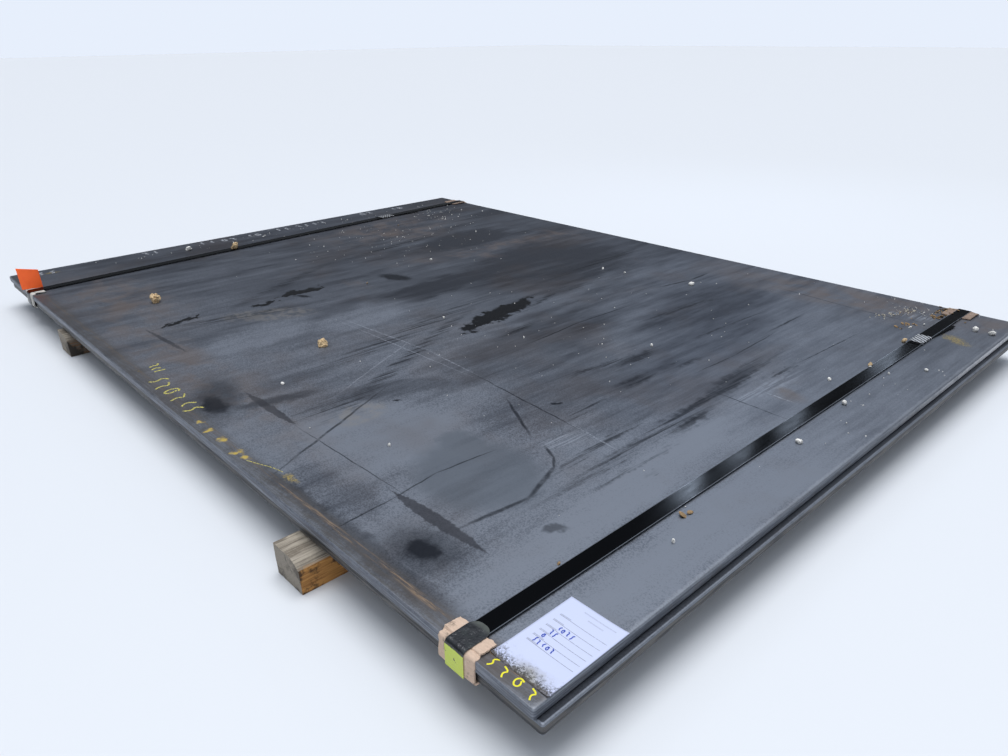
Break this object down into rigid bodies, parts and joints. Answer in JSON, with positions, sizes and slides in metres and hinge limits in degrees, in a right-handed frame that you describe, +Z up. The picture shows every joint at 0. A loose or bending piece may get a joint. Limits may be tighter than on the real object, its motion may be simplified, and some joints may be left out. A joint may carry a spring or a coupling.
{
  "type": "banded pack of steel plates",
  "caption": "Pack of flat rectangular hot-rolled steel plates, banded across with steel straps over folded edge boards, tagged, and raised on timber bearers.",
  "frame": {"origin": "plan centre of the pack, level with the underside of the bearers", "axes": "+X along the plates' length towards the end with the paper tag, +Y across the plates, +Z up"},
  "size_m": [2.4494, 1.92, 0.1722],
  "materials": {
    "plate_steel": "hot-rolled, dark grey mill scale, matt with faint streaks",
    "timber": "rough sawn, weathered grey",
    "board": "plain tan fibreboard, matt",
    "strap_steel": "black painted and waxed, glossy",
    "seal_steel": "zinc-plated, dull",
    "label_film": "glossy film, smoke grey over lime green",
    "tag_paper": "white ruled form, dirty along one end",
    "card": "orange card, matt"
  },
  "bodies": {
    "root": {"upper_plate": "plate_steel", "lower_plate": "plate_steel", "near_bearer": "timber", "far_bearer": "timber", "near_left_protector": "board", "near_right_protector": "board", "far_left_protector": "board", "far_right_protector": "board", "near_strap": "strap_steel", "far_strap": "strap_steel", "near_seal": "seal_steel", "far_seal": "seal_steel", "strap_label": "label_film", "paper_tag": "tag_paper", "orange_card": "card"}
  },
  "joints": []
}
